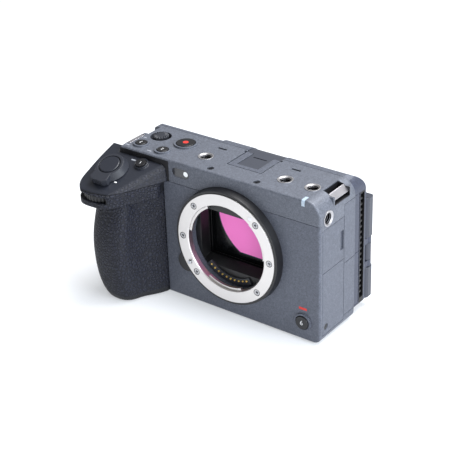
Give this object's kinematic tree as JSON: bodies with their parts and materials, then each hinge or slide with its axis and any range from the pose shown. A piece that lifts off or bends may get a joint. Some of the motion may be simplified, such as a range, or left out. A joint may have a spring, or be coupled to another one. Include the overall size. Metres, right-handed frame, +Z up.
{
  "type": "cinema camera",
  "caption": "Compact cinema camera body with open bayonet lens mount, hand grip with shutter button and dials, threaded accessory points, fan-cooled rear and swing-out monitor.",
  "frame": {"origin": "mouth of the tripod socket in the base, under the lens axis", "axes": "-Y is where the lens points, +Z up, the grip at -X, the connector doors at +X"},
  "size_m": [0.1304, 0.0776, 0.0783],
  "materials": {
    "body_paint": "fine speckled satin paint",
    "top_paint": "fine speckled satin paint",
    "grip_rubber": "leather-grained",
    "black_plastic": "smooth matte",
    "dark_plastic": "satin",
    "steel": "turned",
    "bright": "bright",
    "gold": "polished",
    "sink": "milled",
    "board": "circuit board",
    "sensor_glass": "coated",
    "screen_glass": "glossy",
    "window_glass": "glossy"
  },
  "bodies": {
    "camera_body": {"front_cover": "body_paint", "top_cover": "top_paint", "rear_cover": "body_paint", "base_plate": "body_paint", "side_cover": "body_paint", "grip_shell": "black_plastic", "grip_rubber": "grip_rubber", "grip_deck": "dark_plastic", "lamp_windows": "window_glass", "port_jacks": "black_plastic", "mount_ring": "steel", "mount_collar": "black_plastic", "light_box": "black_plastic", "contact_block": "black_plastic", "contact_pins": "gold", "shutter_frame": "black_plastic", "heat_sink": "sink", "main_board": "board", "switch_domes": "steel", "screws": "dark_plastic", "thread_inserts": "bright", "accessory_shoe": "body_paint", "strap_bars": "bright", "battery": "dark_plastic", "hinge_pins": "steel"},
    "monitor": {"monitor_arm": "body_paint", "monitor_case": "body_paint", "monitor_screen": "screen_glass"},
    "fan_rotor": {"fan_rotor": "black_plastic"},
    "front_curtain": {"front_curtain": "black_plastic"},
    "rear_curtain": {"rear_curtain": "black_plastic"},
    "sensor_stage": {"sensor_stage": "sink"},
    "image_sensor": {"image_sensor": "sensor_glass"},
    "shutter_button": {"shutter_button": "dark_plastic"},
    "zoom_lever": {"zoom_lever": "dark_plastic"},
    "deck_button": {"deck_button": "black_plastic"},
    "front_dial": {"front_dial": "black_plastic"},
    "rear_dial": {"rear_dial": "black_plastic"},
    "top_button_left": {"top_button_left": "black_plastic"},
    "top_button_right": {"top_button_right": "black_plastic"},
    "top_record_button": {"top_record_button": "black_plastic"},
    "front_record_button": {"front_record_button": "dark_plastic"},
    "joystick_base": {"joystick_base": "black_plastic"},
    "joystick_gimbal": {"joystick_gimbal": "steel"},
    "joystick_cap": {"joystick_cap": "black_plastic"},
    "lens_release": {"lens_release_button": "dark_plastic", "lens_lock_pin": "steel"},
    "shoe_cover": {"shoe_cover": "black_plastic"},
    "port_door_front_upper": {"port_door_front_upper": "body_paint"},
    "port_door_front_lower": {"port_door_front_lower": "body_paint"},
    "port_door_rear_upper": {"port_door_rear_upper": "body_paint"},
    "port_door_rear_lower": {"port_door_rear_lower": "body_paint"},
    "card_door": {"card_door": "body_paint"},
    "battery_door": {"battery_door": "black_plastic"},
    "battery_latch": {"battery_latch": "black_plastic"},
    "control_wheel": {"control_wheel": "black_plastic"},
    "wheel_button": {"wheel_button": "black_plastic"},
    "menu_button": {"menu_button": "black_plastic"},
    "playback_button": {"playback_button": "black_plastic"},
    "power_switch": {"power_switch": "black_plastic"}
  },
  "joints": [
    {"name": "monitor_swing", "type": "hinge", "parent": "camera_body", "child": "monitor", "pos_m": [0.0497, 0.0325, 0.031], "axis": [0, 0, -1], "range_deg": [0, 176]},
    {"name": "fan_spin", "type": "hinge", "parent": "camera_body", "child": "fan_rotor", "pos_m": [0.004, 0.022, 0.035], "axis": [0, 1, 0], "continuous": true},
    {"name": "front_curtain_run", "type": "slide", "parent": "camera_body", "child": "front_curtain", "axis": [0, 0, 1], "range_m": [0, 0.0264]},
    {"name": "rear_curtain_run", "type": "slide", "parent": "camera_body", "child": "rear_curtain", "axis": [0, 0, -1], "range_m": [0, 0.0264]},
    {"name": "sensor_shift_x", "type": "slide", "parent": "camera_body", "child": "sensor_stage", "axis": [1, 0, 0], "range_m": [-0.001, 0.001]},
    {"name": "sensor_shift_z", "type": "slide", "parent": "sensor_stage", "child": "image_sensor", "axis": [0, 0, 1], "range_m": [-0.001, 0.001]},
    {"name": "shutter_press", "type": "slide", "parent": "camera_body", "child": "shutter_button", "axis": [0, 0.3746, -0.9272], "range_m": [0, 0.0015], "stiffness_N_per_m": 400},
    {"name": "zoom_turn", "type": "hinge", "parent": "camera_body", "child": "zoom_lever", "pos_m": [-0.0654, -0.0254, 0.06889], "axis": [0, -0.3746, 0.9272], "range_deg": [-16, 16], "stiffness_Nm_per_rad": 0.05},
    {"name": "deck_button_press", "type": "slide", "parent": "camera_body", "child": "deck_button", "axis": [0, 0.3746, -0.9272], "range_m": [0, 0.0005], "stiffness_N_per_m": 400},
    {"name": "front_dial_turn", "type": "hinge", "parent": "camera_body", "child": "front_dial", "pos_m": [-0.0659, -0.0312, 0.0595], "axis": [0, 0, 1], "continuous": true},
    {"name": "rear_dial_turn", "type": "hinge", "parent": "camera_body", "child": "rear_dial", "pos_m": [-0.0584, 0.006, 0.0729], "axis": [0, 0, 1], "continuous": true},
    {"name": "top_button_left_press", "type": "slide", "parent": "camera_body", "child": "top_button_left", "axis": [0, 0, -1], "range_m": [0, 0.0005], "stiffness_N_per_m": 400},
    {"name": "top_button_right_press", "type": "slide", "parent": "camera_body", "child": "top_button_right", "axis": [0, 0, -1], "range_m": [0, 0.0005], "stiffness_N_per_m": 400},
    {"name": "top_record_press", "type": "slide", "parent": "camera_body", "child": "top_record_button", "axis": [0, 0, -1], "range_m": [0, 0.0005], "stiffness_N_per_m": 400},
    {"name": "front_record_press", "type": "slide", "parent": "camera_body", "child": "front_record_button", "axis": [0, 1, 0], "range_m": [0, 0.0005], "stiffness_N_per_m": 400},
    {"name": "joystick_press", "type": "slide", "parent": "camera_body", "child": "joystick_base", "axis": [0, 0, -1], "range_m": [0, 0.0005], "stiffness_N_per_m": 400},
    {"name": "joystick_tilt_x", "type": "hinge", "parent": "joystick_base", "child": "joystick_gimbal", "pos_m": [-0.0584, 0.006, 0.0742], "axis": [1, 0, 0], "range_deg": [-12, 12], "stiffness_Nm_per_rad": 0.02},
    {"name": "joystick_tilt_y", "type": "hinge", "parent": "joystick_gimbal", "child": "joystick_cap", "pos_m": [-0.0584, 0.006, 0.0742], "axis": [0, 1, 0], "range_deg": [-12, 12], "stiffness_Nm_per_rad": 0.02},
    {"name": "lens_release_press", "type": "slide", "parent": "camera_body", "child": "lens_release", "axis": [0, 1, 0], "range_m": [0, 0.0016], "stiffness_N_per_m": 400},
    {"name": "shoe_cover_slide", "type": "slide", "parent": "camera_body", "child": "shoe_cover", "axis": [0, 1, 0], "range_m": [0, 0.018]},
    {"name": "port_door_front_upper_swing", "type": "hinge", "parent": "camera_body", "child": "port_door_front_upper", "pos_m": [0.0517, -0.01105, 0.05], "axis": [0, 0, -1], "range_deg": [0, 90]},
    {"name": "port_door_front_lower_swing", "type": "hinge", "parent": "camera_body", "child": "port_door_front_lower", "pos_m": [0.0517, -0.01105, 0.021], "axis": [0, 0, -1], "range_deg": [0, 90]},
    {"name": "port_door_rear_upper_swing", "type": "hinge", "parent": "camera_body", "child": "port_door_rear_upper", "pos_m": [0.0511, 0.02145, 0.052], "axis": [0, 0, 1], "range_deg": [0, 90]},
    {"name": "port_door_rear_lower_swing", "type": "hinge", "parent": "camera_body", "child": "port_door_rear_lower", "pos_m": [0.0511, 0.02145, 0.021], "axis": [0, 0, 1], "range_deg": [0, 90]},
    {"name": "card_door_swing", "type": "hinge", "parent": "camera_body", "child": "card_door", "pos_m": [-0.069, 0.0159, 0.033], "axis": [0, 0, -1], "range_deg": [0, 100]},
    {"name": "battery_door_swing", "type": "hinge", "parent": "camera_body", "child": "battery_door", "pos_m": [-0.0516, -0.0087, 0.0013], "axis": [0, -1, 0], "range_deg": [0, 95]},
    {"name": "battery_latch_slide", "type": "slide", "parent": "battery_door", "child": "battery_latch", "axis": [0, 1, 0], "range_m": [0, 0.0025]},
    {"name": "control_wheel_turn", "type": "hinge", "parent": "camera_body", "child": "control_wheel", "pos_m": [-0.0475, 0.0195, 0.033], "axis": [0, 1, 0], "continuous": true},
    {"name": "wheel_button_press", "type": "slide", "parent": "camera_body", "child": "wheel_button", "axis": [0, -1, 0], "range_m": [0, 0.0005], "stiffness_N_per_m": 400},
    {"name": "menu_press", "type": "slide", "parent": "camera_body", "child": "menu_button", "axis": [0, -1, 0], "range_m": [0, 0.0005], "stiffness_N_per_m": 400},
    {"name": "playback_press", "type": "slide", "parent": "camera_body", "child": "playback_button", "axis": [0, -1, 0], "range_m": [0, 0.0005], "stiffness_N_per_m": 400},
    {"name": "power_slide", "type": "slide", "parent": "camera_body", "child": "power_switch", "axis": [1, 0, 0], "range_m": [0, 0.004]}
  ]
}
